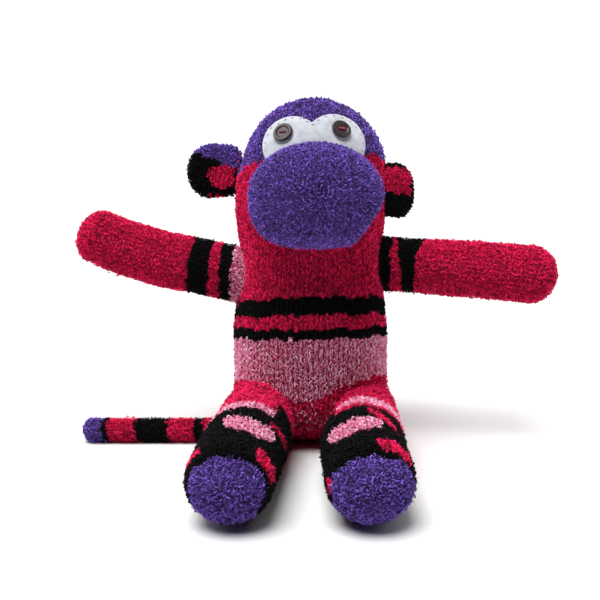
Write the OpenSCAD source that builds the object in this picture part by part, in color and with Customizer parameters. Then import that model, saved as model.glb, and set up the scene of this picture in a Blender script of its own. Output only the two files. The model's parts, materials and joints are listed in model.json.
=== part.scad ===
// Sock monkey: a sitting soft toy sewn from striped chenille socks.
// Millimetres, +Z up. The origin is the centre of the seat, on the surface the toy sits on.
// The monkey faces -Y. Left and right are the monkey's own, so its left side is +X.

/* [Body] */
// How far the body leans back
lean_angle = 8; // [6:0.5:10]
// Radius of the belly
belly_r = 47; // [46:0.5:48]
// Radius of the neck, the narrowest part of the sock
neck_r = 42.6; // [42:0.1:43]
// Radius of the head
head_r = 45.5; // [45:0.1:46]
// Height of the middle of the crown, measured along the leaning body
crown_z = 164.4; // [163:0.2:166]

/* [Muzzle] */
// Half the width of the muzzle
muzzle_half_w = 37.5; // [36:0.5:39]
// Radius of the muzzle from top to bottom
muzzle_r = 28.5; // [27.5:0.5:29]
// How far in front of the body's axis the middle of the muzzle lies
muzzle_out = 53; // [52:0.5:54]

/* [Eyes] */
// Diameter of a button
button_d = 12; // [11:0.5:13]
// Thickness of a button at its rim
button_t = 2.4; // [2:0.2:3]
// Thickness of the felt behind the eyes
felt_t = 1.4; // [1:0.1:1.8]
// Radius of each lobe of the felt
felt_lobe_r = 18.3; // [18:0.1:18.6]

/* [Ears] */
// Radius of an ear's round edge
ear_r = 17; // [16:0.5:18]
// Thickness of a stuffed ear
ear_t = 10; // [9:0.5:11]
// Distance from an ear's sewn edge to its middle
ear_reach = 10; // [9:0.5:11]

/* [Arms] */
// Radius of a stuffed arm
arm_r = 16.5; // [16:0.1:17]
// Length of an arm from the middle of its shoulder to its tip
arm_len = 102; // [90:1:108]
// Height of the right shoulder along the body
right_shoulder_z = 100.4; // [98:0.2:107.2]
// Height of the left shoulder along the body
left_shoulder_z = 107.2; // [98:0.2:107.2]

/* [Legs] */
// Radius of a stuffed leg
leg_r = 21.5; // [21:0.1:22]
// Length of a leg from the middle of its hip to its toe
leg_len = 127.5; // [115:0.5:135]
// Half the distance between the hips
hip_x = 31.5; // [31:0.1:32]

/* [Tail] */
// Radius of the tail
tail_r = 7; // [6.5:0.1:7.2]
// Length of the tail's straight end
tail_end_len = 72.5; // [60:0.5:80]

/* [Fabric and thread] */
// Thickness of the knitted fabric
fabric_t = 2.4; // [2:0.1:2.6]
// Radius of the sewing thread, taken double
thread_r = 0.45; // [0.35:0.05:0.5]

/* [Hidden] */
$fn = 96;

LEFT = 1;
RIGHT = -1;
HOT_PINK = "#d01f55";
PALE_PINK = "#e59bbb";
PURPLE = "#6a46b0";
BLACK = "#15151a";
WHITE = "#eef0f0";
PLUM = "#3a2228";
FILLING = "#f4f2ea";

// Clearances between pieces that move past each other.
gap = 0.5;          // between a limb's root ball and the limb's hollow end
touch = 0.03;       // between pieces of one body that only touch
turn_gap = 0.4;     // between the torso's top and the neck

// The outline's key heights along the body.
seat_curve_z = 25;  // where the rounded seat begins
seat_curve_h = 33;  // half height of the seat's ellipse
belly_z = 62;       // above this the belly narrows to the neck
neck_z = 112;       // the narrowest point
torso_top_z = 124.5;  // where the torso ends and the turning neck begins
jaw_z = 145;        // where the head has its full radius
outline_step = 4;

// The neck is a ball on a short collar, and the head sits on it like a cap.
neck_ball_r = neck_r + 0.2;
neck_ball_z = torso_top_z + 3;
neck_rim_z = neck_ball_z + 11;

muzzle_z = 147.6;
muzzle_x = 2;
muzzle_squareness = 0.86;   // under 1 makes the muzzle's ends blunter than an ellipse
muzzle_clear_r = neck_r + 5.6; // keeps the chin off the neck and torso as the head nods

felt_lobes = [[-12.5, 177.5], [14, 178.5]];
felt_foot_z = 160;
button_spots = [[-16.4, 184.2], [17.2, 186.2]];    // right eye, left eye
button_hole_r = 0.75;
button_hole_pitch = 3.2;

// An ear turns about its sewn edge, ear_hinge_r outside the head.
ear_hinge_r = ear_t / 2;
ear_hinge_x = head_r + ear_hinge_r + gap;

// The limbs turn about a ball at their root, which sits in a pocket in the torso.
shoulder_x = neck_r + 8.4;
arm_ball_r = arm_r - 0.7;
arm_rim = 6;
arm_pocket_r = arm_r + 1.8;
leg_ball_r = leg_r - 0.7;
leg_rim = 7;
leg_pocket_r = leg_r + 3.4;  // wide enough for the leg to hang down over an edge
hip_y = -38;

// The tail leaves the back, curls round the right side and turns out again.
tail_ball_r = tail_r - 0.6;
tail_rim = 3;
tail_y = 53.9;
tail_z = tail_r + 0.2;
tail_curl_r = 11;
tail_side_r = 39.5;
tail_side_len = 39.5;
tail_out_r = 12;

function smooth(t) = let (u = min(1, max(0, t))) u * u * (3 - 2 * u);
function mix(a, b, t) = a + (b - a) * t;

// Radius of the sock at height z along the body, with its surface moved in by inset.
function outline_r(z, inset = 0) =
    z < seat_curve_z
        ? (belly_r - inset) * sqrt(max(0, 1 - pow((seat_curve_z - z) / (seat_curve_h - inset), 2)))
    : z < neck_z ? mix(belly_r, neck_r, smooth((z - belly_z) / (neck_z - belly_z))) - inset
    : z < crown_z ? mix(neck_r, head_r, smooth((z - neck_z) / (jaw_z - neck_z))) - inset
    : sqrt(max(0, pow(head_r - inset, 2) - pow(z - crown_z, 2)));

// Points from z0 to z1 on the outline, closed along the axis.
function outline(z0, z1, inset = 0) = concat(
    [[0, z0]],
    [for (i = [0 : ceil((z1 - z0) / outline_step)])
        let (z = min(z1, z0 + i * outline_step)) [outline_r(z, inset), z]],
    [[0, z1]]
);

// A point on the outside of the sock, lift above it, at height z and x to the side, in front or behind.
function on_body(x, z, lift, front = true) =
    let (r = outline_r(z, -lift)) [x, (front ? -1 : 1) * sqrt(max(0, r * r - x * x)), z];

module on_leaning_body() rotate([-lean_angle, 0, 0]) children();

// A round bar from a to b.
module rod(a, b, r) {
    d = b - a;
    translate(a)
        rotate([0, acos(d[2] / norm(d)), atan2(d[1], d[0])])
            cylinder(h = norm(d), r = r, $fn = 16);
}

// ---- Torso ----

module leg_pocket(side, r) {
    translate([side * hip_x, hip_y, leg_r]) sphere(r);
}

module arm_pocket(side, r) {
    on_leaning_body() translate([side * shoulder_x, 0, shoulder_z(side)]) sphere(r);
}

module torso_solid(inset) {
    difference() {
        intersection() {
            on_leaning_body() rotate_extrude()
                polygon(outline(seat_curve_z - seat_curve_h + inset + 1, torso_top_z, inset));
            translate([-100, -100, inset]) cube([200, 200, 200]);
        }
        for (side = [LEFT, RIGHT]) {
            arm_pocket(side, arm_pocket_r + inset);
            leg_pocket(side, leg_pocket_r + inset);
        }
    }
}

module torso_cover() color(HOT_PINK) difference() {
    torso_solid(0);
    torso_solid(fabric_t);
}

module torso_stuffing() color(FILLING) torso_solid(fabric_t);

// Ladder stitches that close the back after stuffing.
module closing_stitches() color(HOT_PINK) on_leaning_body()
    for (z = [40 : 4 : 72]) {
        a = on_body(-1.6, z, thread_r + 0.2, false);
        b = on_body(1.6, z + 1, thread_r + 0.2, false);
        rod(a, b, thread_r);
    }

// ---- Neck and head ----

neck_collar_z = torso_top_z + turn_gap;
neck_inner_r = neck_ball_r - fabric_t;
neck_rim_h = neck_rim_z - neck_ball_z;

// Points on the neck ball's section from angle a0 to a1 above its equator.
function neck_arc(r, a0, a1) =
    [for (i = [0 : 8]) let (a = mix(a0, a1, i / 8)) [r * cos(a), neck_ball_z + r * sin(a)]];

// The neck's fabric: a collar with the ball's side above it, up to the rim.
module neck_cover() color(HOT_PINK) on_leaning_body() rotate_extrude() polygon(concat(
    [[neck_ball_r, neck_collar_z]],
    neck_arc(neck_ball_r, 0, asin(neck_rim_h / neck_ball_r)),
    neck_arc(neck_inner_r, asin(neck_rim_h / neck_inner_r), 0),
    [[neck_inner_r, neck_collar_z]]
));

// The neck's filling, whose bare top is the ball inside the head.
module neck_stuffing() color(FILLING) on_leaning_body() rotate_extrude() polygon(concat(
    [[0, neck_collar_z], [neck_inner_r, neck_collar_z]],
    neck_arc(neck_inner_r, 0, asin(neck_rim_h / neck_inner_r)),
    neck_arc(neck_ball_r, asin(neck_rim_h / neck_ball_r), 90)
));

module head_solid(inset) difference() {
    rotate_extrude() polygon(outline(neck_rim_z, crown_z + head_r - inset, inset));
    translate([0, 0, neck_ball_z]) sphere(neck_ball_r + gap);
}

module head_cover() color(PURPLE) on_leaning_body() difference() {
    head_solid(0);
    head_solid(fabric_t);
}

module head_stuffing() color(FILLING) on_leaning_body() head_solid(fabric_t);

// ---- Muzzle ----

function muzzle_point(t, inset) = [
    (muzzle_r - inset) * pow(sin(t), muzzle_squareness),
    (muzzle_half_w - inset) * sign(cos(t)) * pow(abs(cos(t)), muzzle_squareness)
];

module muzzle_solid(inset) difference() {
    translate([muzzle_x, -muzzle_out, muzzle_z])
        rotate([0, 90, 0])
            rotate_extrude() polygon([for (t = [0 : 7.5 : 180]) muzzle_point(t, inset)]);
    rotate_extrude() polygon(outline(neck_rim_z, crown_z + head_r, -touch));
    translate([0, 0, neck_ball_z]) sphere(muzzle_clear_r);
}

module muzzle_cover() color(PURPLE) on_leaning_body() difference() {
    muzzle_solid(0);
    muzzle_solid(fabric_t);
}

module muzzle_stuffing() color(FILLING) on_leaning_body() muzzle_solid(fabric_t);

// The muzzle's edge on the head, at angle a round it, grown outward by out.
function muzzle_edge(a, out) = [
    muzzle_x + (muzzle_half_w * 0.86 + out) * cos(a),
    muzzle_z + (muzzle_r * 0.95 + out) * sin(a)
];

// Whip stitches round the muzzle, left out underneath, where its edge hangs clear of the head.
module muzzle_stitches() color(PURPLE) on_leaning_body()
    for (a = [-20 : 10 : 200]) {
        p = muzzle_edge(a - 2, 3.4);
        q = muzzle_edge(a + 2, 5.6);
        lift = thread_r + 0.15 + (a > 35 && a < 155 ? felt_t + touch : 0);  // over the felt's foot
        rod(on_body(p[0], p[1], lift), on_body(q[0], q[1], lift), thread_r);
    }

// ---- Eyes ----

module felt_outline() {
    for (lobe = felt_lobes) translate(lobe) circle(felt_lobe_r);
    polygon([
        [felt_lobes[0][0] - felt_lobe_r, felt_lobes[0][1]],
        [felt_lobes[0][0] - felt_lobe_r + 3, felt_foot_z],
        [felt_lobes[1][0] + felt_lobe_r - 3, felt_foot_z],
        [felt_lobes[1][0] + felt_lobe_r, felt_lobes[1][1]]
    ]);
}

module eye_felt() color(WHITE) on_leaning_body() difference() {
    intersection() {
        rotate_extrude() polygon(outline(neck_rim_z, crown_z + head_r + felt_t + touch, -felt_t - touch));
        rotate([90, 0, 0]) linear_extrude(2 * head_r) felt_outline();
    }
    rotate_extrude() polygon(outline(neck_rim_z, crown_z + head_r + touch, -touch));
    muzzle_form();
}

// The muzzle with a hair's clearance, which trims the felt where it runs under the muzzle.
module muzzle_form()
    translate([muzzle_x, -muzzle_out, muzzle_z])
        rotate([0, 90, 0])
            rotate_extrude() polygon([for (t = [0 : 7.5 : 180]) muzzle_point(t, -touch)]);

// A felt stitch lies just inside the felt's edge, at angle a round a lobe.
module felt_stitch(lobe, a) {
    r = felt_lobe_r - 1.6;
    p = felt_lobes[lobe] + r * [cos(a - 3.5), sin(a - 3.5)];
    q = felt_lobes[lobe] + r * [cos(a + 3.5), sin(a + 3.5)];
    lift = felt_t + thread_r + 0.15;
    rod(on_body(p[0], p[1], lift), on_body(q[0], q[1], lift), thread_r * 0.7);
}

module eye_felt_stitches() color(PLUM) on_leaning_body() {
    for (a = [58 : 16 : 202]) felt_stitch(0, a);
    for (a = [122 : -16 : -22]) felt_stitch(1, a);
}

// Puts children on the felt at [x, z], with their +Z along the surface's normal.
module on_eye(spot) {
    p = on_body(spot[0], spot[1], felt_t + touch);
    n = [p[0], p[1], p[2] - crown_z];
    translate(p) rotate([0, acos(n[2] / norm(n)), atan2(n[1], n[0])]) children();
}

module button(spot) color(PLUM) on_leaning_body() on_eye(spot) {
    rim_r = button_d / 2;
    dish_r = rim_r * 0.7;
    difference() {
        rotate_extrude() polygon([
            [0, touch], [rim_r - 0.9, touch], [rim_r, 0.9], [rim_r, button_t - 0.7],
            [rim_r - 0.6, button_t], [dish_r, button_t], [dish_r - 0.8, button_t - 0.7],
            [0, button_t - 0.7]
        ]);
        for (s = [-1, 1])
            translate([0, s * button_hole_pitch / 2, -1]) cylinder(h = button_t + 2, r = button_hole_r);
    }
}

// One loop of doubled thread, down through both holes and across the top.
module button_thread(spot) color(HOT_PINK) on_leaning_body() on_eye(spot) {
    top_z = button_t - 0.7 + thread_r + touch;
    half = button_hole_pitch / 2;
    union() {
        rod([0, -half, top_z], [0, half, top_z], thread_r);
        for (s = [-1, 1]) {
            rod([0, s * half, touch], [0, s * half, top_z], thread_r);
            translate([0, s * half, top_z]) sphere(thread_r, $fn = 16);
        }
    }
}

// ---- Ears ----

// Height of the ear's middle and how far it points back, for each side.
function ear_z(side) = side == RIGHT ? 166 : 152;
function ear_back(side) = side == RIGHT ? 12 : 52;

// The ear in its own frame: +X away from the head, hinge along Z.
module ear_solid(side, inset) {
    half_t = ear_t / 2 - inset;
    round_r = ear_r - inset;
    on_leaning_body()
        translate([side * ear_hinge_x, 0, ear_z(side)])
            rotate([0, 0, side == RIGHT ? 180 - ear_back(side) : ear_back(side)])
                intersection() {
                    translate([ear_reach, 0, 0]) rotate([90, 0, 0]) rotate_extrude()
                        polygon(concat(
                            [[0, -half_t]],
                            [for (a = [-90 : 15 : 90])
                                [round_r - half_t + half_t * cos(a), half_t * sin(a)]],
                            [[0, half_t]]
                        ));
                    union() {
                        translate([0, -ear_t, -ear_r]) cube([2 * ear_r, 2 * ear_t, 2 * ear_r]);
                        translate([0, 0, -ear_r]) cylinder(h = 2 * ear_r, r = ear_hinge_r - inset);
                    }
                }
}

module ear_cover(side) color(BLACK) difference() {
    ear_solid(side, 0);
    ear_solid(side, fabric_t);
}

module ear_stuffing(side) color(FILLING) ear_solid(side, fabric_t);

// Two rows of stitches on the head, in front of and behind the ear's sewn edge.
module ear_stitches(side) color(HOT_PINK) on_leaning_body()
    for (front = [-1, 1])
        for (i = [-2 : 2]) {
            z = ear_z(side) + 4.5 * i;
            r = outline_r(z) + thread_r + 0.15;
            a = 9 * front;
            b = 12 * front;
            rod([side * r * cos(a), r * sin(a), z], [side * r * cos(b), r * sin(b), z + 0.8], thread_r);
        }

// ---- Arms and legs ----

// A bar along +X from start to len, with a round tip.
module limb_bar(start, len, r) {
    translate([start, 0, 0]) rotate([0, 90, 0]) cylinder(h = len - start - r, r = r);
    translate([len - r, 0, 0]) sphere(r);
}

// A limb's fabric: a tube from the rim round its root ball to its closed tip.
module limb_cover(len, r, rim, ball_r) difference() {
    limb_bar(rim, len, r);
    limb_bar(0, len - fabric_t, r - fabric_t);
    sphere(ball_r + gap);
}

module limb_stuffing(len, r, rim, ball_r) difference() {
    limb_bar(rim, len - fabric_t, r - fabric_t);
    sphere(ball_r + gap);
}

// How high each shoulder is, and how far each arm points up and back from straight out to the side.
function shoulder_z(side) = side == RIGHT ? right_shoulder_z : left_shoulder_z;
function arm_up(side) = side == RIGHT ? 15 : -4;
function arm_back(side) = side == RIGHT ? 4 : -8;

module arm_place(side)
    on_leaning_body()
        translate([side * shoulder_x, 0, shoulder_z(side)])
            rotate([0, 0, side == RIGHT ? 180 - arm_back(side) : arm_back(side)])
                rotate([0, -arm_up(side), 0])
                    children();

module arm_root(side) color(side == RIGHT ? PALE_PINK : BLACK) arm_place(side) sphere(arm_ball_r);

module arm_cover(side) color(HOT_PINK) arm_place(side) limb_cover(arm_len, arm_r, arm_rim, arm_ball_r);

module arm_stuffing(side) color(FILLING)
    arm_place(side) limb_stuffing(arm_len, arm_r, arm_rim, arm_ball_r);

// Whip stitches on the torso round the shoulder.
module arm_stitches(side) color(HOT_PINK) on_leaning_body()
    for (a = [0 : 20 : 340]) {
        p = [cos(a - 2), sin(a - 2)] * (arm_pocket_r + 1.2);
        q = [cos(a + 2), sin(a + 2)] * (arm_pocket_r + 3.6);
        pz = shoulder_z(side) + p[1];
        qz = shoulder_z(side) + q[1];
        pr = outline_r(pz) + thread_r + 0.35;
        qr = outline_r(qz) + thread_r + 0.35;
        if (qz < torso_top_z - 1)
            rod([side * sqrt(pr * pr - p[0] * p[0]), p[0], pz],
                [side * sqrt(qr * qr - q[0] * q[0]), q[0], qz], thread_r);
    }

// How far each leg points out to its own side.
function leg_out(side) = side == RIGHT ? 4.7 : -1.9;

module leg_place(side)
    translate([side * hip_x, hip_y, leg_r])
        rotate([0, 0, -90 + side * leg_out(side)])
            children();

module leg_root(side) color(PALE_PINK) leg_place(side) sphere(leg_ball_r);

module leg_cover(side) color(BLACK) leg_place(side) limb_cover(leg_len, leg_r, leg_rim, leg_ball_r);

module leg_stuffing(side) color(FILLING)
    leg_place(side) limb_stuffing(leg_len, leg_r, leg_rim, leg_ball_r);

// ---- Tail ----

// The tail's section, with a hole of hole_r.
module tail_section(r, hole_r) difference() {
    circle(r);
    if (hole_r > 0) circle(hole_r);
}

// A half ball over +Z that closes one end of the tail.
module tail_tip(r, hole_r) rotate_extrude() intersection() {
    tail_section(r, hole_r);
    square(r);
}

// The whole tail from its rim to its tip, hollow inside where hole_r is above 0.
module tail_solid(r, hole_r) translate([0, tail_y, tail_z]) {
    difference() {
        union() {
            translate([0, tail_rim, 0]) rotate([-90, 0, 0])
                linear_extrude(tail_curl_r - tail_rim) tail_section(r, hole_r);
            translate([-tail_curl_r, tail_curl_r, 0])
                rotate_extrude(angle = 90) translate([tail_curl_r, 0]) tail_section(r, hole_r);
        }
        sphere(tail_ball_r + gap);
    }
    translate([-tail_curl_r, 2 * tail_curl_r - tail_side_r, 0]) {
        rotate([0, 0, 90])
            rotate_extrude(angle = 90) translate([tail_side_r, 0]) tail_section(r, hole_r);
        translate([-tail_side_r, 0, 0]) rotate([90, 0, 0])
            linear_extrude(tail_side_len) tail_section(r, hole_r);
    }
    translate([
        -tail_curl_r - tail_side_r - tail_out_r,
        2 * tail_curl_r - tail_side_r - tail_side_len,
        0
    ]) {
        rotate([0, 0, -90]) rotate_extrude(angle = 90)
            translate([tail_out_r, 0]) tail_section(r, hole_r);
        translate([0, -tail_out_r, 0]) rotate([0, -90, 0]) {
            linear_extrude(tail_end_len) tail_section(r, hole_r);
            translate([0, 0, tail_end_len]) tail_tip(r, hole_r);
        }
    }
}

module tail_root() color(BLACK) translate([0, tail_y, tail_z]) sphere(tail_ball_r);

module tail_cover() color(BLACK) tail_solid(tail_r, tail_r - fabric_t);

module tail_stuffing() color(FILLING) tail_solid(tail_r - fabric_t, 0);

// Stitches on the torso over the tail's sewn end.
module tail_stitches() color(BLACK) on_leaning_body()
    for (x = [-14 : 3 : 7]) {
        a = on_body(x - 0.6, 22, thread_r + 0.35, false);
        b = on_body(x + 0.6, 25, thread_r + 0.35, false);
        rod(a, b, thread_r);
    }

torso_cover();
torso_stuffing();
closing_stitches();
neck_cover();
neck_stuffing();
head_cover();
head_stuffing();
muzzle_cover();
muzzle_stuffing();
muzzle_stitches();
eye_felt();
eye_felt_stitches();
button(button_spots[1]);  // button_left
button(button_spots[0]);  // button_right
button_thread(button_spots[1]);  // button_thread_left
button_thread(button_spots[0]);  // button_thread_right
ear_cover(LEFT);  // ear_left_cover
ear_stuffing(LEFT);  // ear_left_stuffing
ear_stitches(LEFT);  // ear_left_stitches
ear_cover(RIGHT);  // ear_right_cover
ear_stuffing(RIGHT);  // ear_right_stuffing
ear_stitches(RIGHT);  // ear_right_stitches
arm_root(LEFT);  // arm_left_root
arm_cover(LEFT);  // arm_left_cover
arm_stuffing(LEFT);  // arm_left_stuffing
arm_stitches(LEFT);  // arm_left_stitches
arm_root(RIGHT);  // arm_right_root
arm_cover(RIGHT);  // arm_right_cover
arm_stuffing(RIGHT);  // arm_right_stuffing
arm_stitches(RIGHT);  // arm_right_stitches
leg_root(LEFT);  // leg_left_root
leg_cover(LEFT);  // leg_left_cover
leg_stuffing(LEFT);  // leg_left_stuffing
leg_root(RIGHT);  // leg_right_root
leg_cover(RIGHT);  // leg_right_cover
leg_stuffing(RIGHT);  // leg_right_stuffing
tail_root();
tail_cover();
tail_stuffing();
tail_stitches();
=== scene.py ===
import json
import math
import bpy
import numpy as np
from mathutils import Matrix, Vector


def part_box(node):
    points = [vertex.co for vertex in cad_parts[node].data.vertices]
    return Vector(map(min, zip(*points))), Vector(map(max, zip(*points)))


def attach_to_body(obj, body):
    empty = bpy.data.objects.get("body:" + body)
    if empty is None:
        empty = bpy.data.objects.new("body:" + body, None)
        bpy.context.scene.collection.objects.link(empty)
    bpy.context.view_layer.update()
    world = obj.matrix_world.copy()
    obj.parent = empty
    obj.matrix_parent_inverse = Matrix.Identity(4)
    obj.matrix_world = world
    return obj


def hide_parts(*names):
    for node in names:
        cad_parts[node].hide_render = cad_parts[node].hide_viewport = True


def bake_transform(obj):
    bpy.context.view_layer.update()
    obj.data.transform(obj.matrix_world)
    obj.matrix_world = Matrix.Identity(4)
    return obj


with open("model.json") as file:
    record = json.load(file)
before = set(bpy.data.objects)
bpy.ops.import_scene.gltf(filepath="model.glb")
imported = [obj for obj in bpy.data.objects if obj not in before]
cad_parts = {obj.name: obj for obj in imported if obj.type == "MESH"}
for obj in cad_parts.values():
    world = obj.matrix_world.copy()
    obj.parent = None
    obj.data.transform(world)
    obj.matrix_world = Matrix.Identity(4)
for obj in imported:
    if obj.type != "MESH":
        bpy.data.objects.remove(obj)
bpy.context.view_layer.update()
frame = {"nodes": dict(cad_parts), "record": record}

# A stuffed monkey sewn from fuzzy striped socks. Every soft piece is a smooth surface through a coarse
# grid. The grids of the arms, legs, muzzle and ears are swollen by a short cloth simulation; every grid is
# covered with a ribbed knit, and then with the short curly fibres of chenille yarn.

MM = 0.001
TAU = 2 * math.pi
SCENE = bpy.context.scene
JOINT = {j["name"]: j for j in frame["record"]["behaviour"]["joints"]}


def unit(v):
    v = np.asarray(v, float)
    return v / np.maximum(np.linalg.norm(v, axis=-1, keepdims=True), 1e-12)


def pivot(name):
    return np.array(JOINT[name]["pos_m"], float) / MM


def width_of(node):
    low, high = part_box(node)
    return (high[0] - low[0]) / MM


def middle_of(node):
    low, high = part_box(node)
    return (np.array(low) + np.array(high)) / 2 / MM


def add_object(name, data):
    obj = bpy.data.objects.new(name, data)
    SCENE.collection.objects.link(obj)
    return obj


# ---- The body's own frame: it leans back, so its axis comes from the head's turning joint ----

AXIS = unit(JOINT["head_turn"]["axis"])
BACK = np.cross(AXIS, [1.0, 0.0, 0.0])
LEAN = np.array([[1.0, 0.0, 0.0], BACK, AXIS])


def to_row(p):
    """Points in the body's leaning frame, in millimetres, as points in the row frame."""
    return np.asarray(p, float) @ LEAN


def to_body(p):
    return np.asarray(p, float) @ LEAN.T


NECK_Z = to_body(pivot("head_turn"))[2]
HEAD_R = width_of("head_cover") / 2
BELLY_R = width_of("torso_cover") / 2
NECK_R = width_of("neck_cover") / 2 - 0.2
# Heights along the body: where the seat's curve ends, where the belly starts to narrow, the narrowest
# point, where the head has its full radius, and where the crown's curve begins.
SEAT_Z, BELLY_Z, NARROW_Z, JAW_Z, CROWN_Z = 25, 62, 112, 145, 164.4
SEAT_DEPTH = 33
FUZZ = -0.3


def smooth(t):
    t = np.clip(t, 0, 1)
    return t * t * (3 - 2 * t)


def outline(z):
    """The sock's radius at height z along the body, as in the CAD solids."""
    z = np.asarray(z, float)
    seat = BELLY_R * np.sqrt(np.maximum(0, 1 - ((SEAT_Z - z) / SEAT_DEPTH) ** 2))
    waist = BELLY_R + (NECK_R - BELLY_R) * smooth((z - BELLY_Z) / (NARROW_Z - BELLY_Z))
    cheek = NECK_R + (HEAD_R - NECK_R) * smooth((z - NARROW_Z) / (JAW_Z - NARROW_Z))
    crown = np.sqrt(np.maximum(0, HEAD_R**2 - (z - CROWN_Z) ** 2))
    upper = np.where(z < NARROW_Z, waist, np.where(z < CROWN_Z, cheek, crown))
    return np.where(z < SEAT_Z, seat, upper)


def lumps(seed, u, v, size):
    """A gentle unevenness, as loose filling gives: a few waves round and along."""
    r = np.random.default_rng(seed)
    total = np.zeros(np.broadcast(u, v).shape)
    for k in range(1, 6):
        total = total + r.normal() / k * np.cos(TAU * (k * u + r.random()) + v * r.uniform(1.0, 3.5))
    return size * total / 2.2


# ---- Surfaces ----


class Surface:
    """A smooth surface through a grid of rows, each running once round. Row and turn are its coordinates."""

    def __init__(self, grid, poles=(False, False)):
        self.grid = np.array(grid, float)
        self.rows, self.columns = self.grid.shape[:2]
        self.poles = poles
        self.facing = 1.0
        ring = np.arange(24) / 24
        p, n, _ = self.frame(np.full(24, self.rows * 0.5), ring)
        self.facing = 1.0 if ((p - p.mean(0)) * n).sum() > 0 else -1.0

    def at(self, row, turn):
        last = self.rows - 1
        row = np.clip(row, 0, last)
        i = np.minimum(np.floor(row).astype(int), last - 1)
        a = (row - i)[..., None]
        c = (turn % 1) * self.columns
        j = np.floor(c).astype(int)
        b = (c - j)[..., None]

        def weights(t):
            return (
                (-t + 2 * t**2 - t**3) / 2,
                (2 - 5 * t**2 + 3 * t**3) / 2,
                (t + 4 * t**2 - 3 * t**3) / 2,
                (-(t**2) + t**3) / 2,
            )

        total = 0
        across = weights(b)
        for m, row_weight in enumerate(weights(a)):
            k = i + m - 1
            over = self.columns // 2
            for n, turn_weight in enumerate(across):
                low = (k < 0) & self.poles[0]
                high = (k > last) & self.poles[1]
                grid_row = np.where(low, -k, np.where(high, 2 * last - k, np.clip(k, 0, last)))
                grid_column = (j + n - 1 + np.where(low | high, over, 0)) % self.columns
                total = total + row_weight * turn_weight * self.grid[grid_row, grid_column]
        return total

    def frame(self, row, turn):
        """Position, outward normal and the direction along the rows."""
        p = self.at(row, turn)
        along = self.at(row + 0.04, turn) - self.at(row - 0.04, turn)
        around = self.at(row, turn + 0.002) - self.at(row, turn - 0.002)
        n = unit(np.cross(around, along)) * self.facing
        return p, n, unit(along)


def swell(surface, pinned, push, cap):
    """Blows the grid up a little with a cloth simulation, as filling does to a sewn cover."""
    g = surface.grid
    rows, columns = g.shape[:2]
    first, last = (1 if surface.poles[0] else 0), (rows - 1 if surface.poles[1] else rows)
    points = g[first:last].reshape(-1, 3)
    faces = []
    for i in range(last - first - 1):
        for j in range(columns):
            k = (j + 1) % columns
            faces.append((i * columns + j, i * columns + k, (i + 1) * columns + k, (i + 1) * columns + j))
    ends = [row for pole, row in zip(surface.poles, (0, rows - 1)) if pole]
    for n, row in enumerate(ends):
        tip = len(points) + n
        ring = 0 if row == 0 else (last - first - 1) * columns
        for j in range(columns):
            k = (j + 1) % columns
            faces.append((ring + k, ring + j, tip) if row == 0 else (ring + j, ring + k, tip))
    before = np.vstack([points] + [g[row, :1] for row in ends])
    mesh = bpy.data.meshes.new("swelling")
    mesh.from_pydata((before * MM).tolist(), [], faces)
    obj = add_object("swelling", mesh)
    pins = obj.vertex_groups.new(name="pins")
    held = [i * columns + j for i in range(last - first) for j in range(columns) if pinned(i + first, j)]
    pins.add(held, 1.0, "REPLACE")
    cloth = obj.modifiers.new("cloth", "CLOTH")
    s = cloth.settings
    s.quality = 6
    s.mass = 0.15
    s.tension_stiffness = 12
    s.compression_stiffness = 6
    s.shear_stiffness = 4
    s.bending_stiffness = 0.4
    s.use_pressure = True
    s.uniform_pressure_force = push
    s.vertex_group_mass = "pins"
    s.effector_weights.gravity = 0
    for f in range(1, 21):
        SCENE.frame_set(f)
    made = obj.evaluated_get(bpy.context.evaluated_depsgraph_get()).to_mesh()
    after = np.empty(len(made.vertices) * 3)
    made.vertices.foreach_get("co", after)
    after = after.reshape(-1, 3) / MM
    SCENE.frame_set(1)
    bpy.data.objects.remove(obj, do_unlink=True)
    bpy.data.meshes.remove(mesh)
    move = after - before
    far = np.linalg.norm(move, axis=1, keepdims=True)
    after = before + move * np.minimum(1, cap / np.maximum(far, 1e-9))
    new = g.copy()
    new[first:last] = after[: len(points)].reshape(last - first, columns, 3)
    for n, row in enumerate(ends):
        new[row] = after[len(points) + n]
    return Surface(new, surface.poles)


# ---- Materials ----

PURPLE, HOT, PALE, BLACK = range(4)
COLOUR_NAMES = ("purple", "hot_pink", "pale_pink", "black")
SLOTS = [f"sock_{name}" for name in COLOUR_NAMES]
YARN = (
    (0.155, 0.084, 0.405),
    (0.820, 0.0108, 0.090),
    (0.900, 0.330, 0.510),
    (0.0035, 0.0035, 0.0042),
)


def set_inputs(node, values):
    for name, value in values.items():
        node.inputs[name].default_value = value


def shader_of(material):
    return material.node_tree.nodes["Principled BSDF"]


def plain_material(name, colour, rough, sheen=0.0, sheen_tint=(1, 1, 1)):
    m = bpy.data.materials.new(name)
    m.use_nodes = True
    set_inputs(shader_of(m), {
        "Base Color": (*colour, 1),
        "Roughness": rough,
        "Specular IOR Level": 0.12,
        "Sheen Weight": sheen,
        "Sheen Roughness": 0.5,
        "Sheen Tint": (*sheen_tint, 1),
    })
    return m


def shaded(colour, k):
    return tuple(min(1.0, c * k) for c in colour)


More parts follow.
